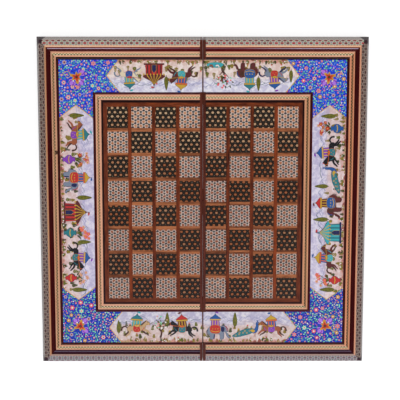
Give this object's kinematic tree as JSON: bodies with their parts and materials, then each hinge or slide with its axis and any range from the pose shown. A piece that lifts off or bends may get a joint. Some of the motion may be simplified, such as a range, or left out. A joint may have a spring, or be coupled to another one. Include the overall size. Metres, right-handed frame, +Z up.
{
  "type": "marquetry chess board",
  "caption": "Folding wooden game board lying open, with mosaic squares, a painted border and a mosaic frame over two hinged hollow trays.",
  "frame": {"origin": "middle of the open board, on the plane that the hinge barrels stand on", "axes": "+X across the fold to the right half, +Y along the fold to the back end, +Z up out of the chess face"},
  "size_m": [0.5, 0.5, 0.0367],
  "materials": {
    "rail_wood": "lacquered dark red-brown hardwood",
    "core_wood": "plain plywood",
    "post_wood": "lacquered very dark wood",
    "edge_mosaic": "satin wood, bone and brass mosaic",
    "pale_wood": "satin pale wood",
    "cove_wood": "gloss maroon lacquer",
    "banding": "satin banding of pale wood with two rows of fine dots",
    "dark_line_wood": "gloss near-black red lacquer",
    "red_line_wood": "gloss dark red lacquer",
    "margin_wood": "satin red-brown wood",
    "upright_wood": "satin red-brown wood",
    "cross_wood": "satin orange-tan wood",
    "dark_mosaic": "satin mosaic, tan stars on black",
    "light_mosaic": "satin mosaic, orange stars on ivory",
    "seam_wood": "lacquered brown wood",
    "lining_wood": "satin red-brown veneer",
    "dark_point_wood": "satin dark veneer",
    "light_point_wood": "satin pale veneer",
    "painted_ground": "varnished painting on a pale ground",
    "painted_blue": "varnished painting on an ultramarine ground",
    "hinge_brass": "worn satin brass",
    "pin_steel": "drawn wire",
    "magnet_plate": "nickel plate"
  },
  "bodies": {
    "left": {"left_core_panel": "core_wood", "left_fold_rail": "rail_wood", "left_far_rail": "rail_wood", "left_near_rail": "rail_wood", "left_back_rail": "rail_wood", "left_corner_posts": "post_wood", "left_side_khatam": "edge_mosaic", "left_band_khatam": "edge_mosaic", "left_pale_line": "pale_wood", "left_cove": "cove_wood", "left_outer_banding": "banding", "left_outer_bead": "dark_line_wood", "left_picture_panels": "painted_ground", "left_blue_corners": "painted_blue", "left_inner_bead": "red_line_wood", "left_inner_banding": "banding", "left_field_line": "dark_line_wood", "left_field_margin": "margin_wood", "left_upright_fillets": "upright_wood", "left_cross_fillets": "cross_wood", "left_dark_squares": "dark_mosaic", "left_light_squares": "light_mosaic", "left_seam_strips": "seam_wood", "left_lining": "lining_wood", "left_dark_points": "dark_point_wood", "left_light_points": "light_point_wood", "left_hinge_leaves": "hinge_brass", "left_hinge_screws": "hinge_brass", "left_magnets": "magnet_plate", "hinge_pins": "pin_steel"},
    "right": {"right_core_panel": "core_wood", "right_fold_rail": "rail_wood", "right_far_rail": "rail_wood", "right_near_rail": "rail_wood", "right_back_rail": "rail_wood", "right_corner_posts": "post_wood", "right_side_khatam": "edge_mosaic", "right_band_khatam": "edge_mosaic", "right_pale_line": "pale_wood", "right_cove": "cove_wood", "right_outer_banding": "banding", "right_outer_bead": "dark_line_wood", "right_picture_panels": "painted_ground", "right_blue_corners": "painted_blue", "right_inner_bead": "red_line_wood", "right_inner_banding": "banding", "right_field_line": "dark_line_wood", "right_field_margin": "margin_wood", "right_upright_fillets": "upright_wood", "right_cross_fillets": "cross_wood", "right_dark_squares": "dark_mosaic", "right_light_squares": "light_mosaic", "right_seam_strips": "seam_wood", "right_lining": "lining_wood", "right_dark_points": "dark_point_wood", "right_light_points": "light_point_wood", "right_hinge_leaves": "hinge_brass", "right_hinge_screws": "hinge_brass", "right_magnets": "magnet_plate"}
  },
  "joints": [
    {"name": "fold", "type": "hinge", "parent": "left", "child": "right", "pos_m": [0, 0, 0.0016], "axis": [0, 1, 0], "range_deg": [0, 180]}
  ]
}
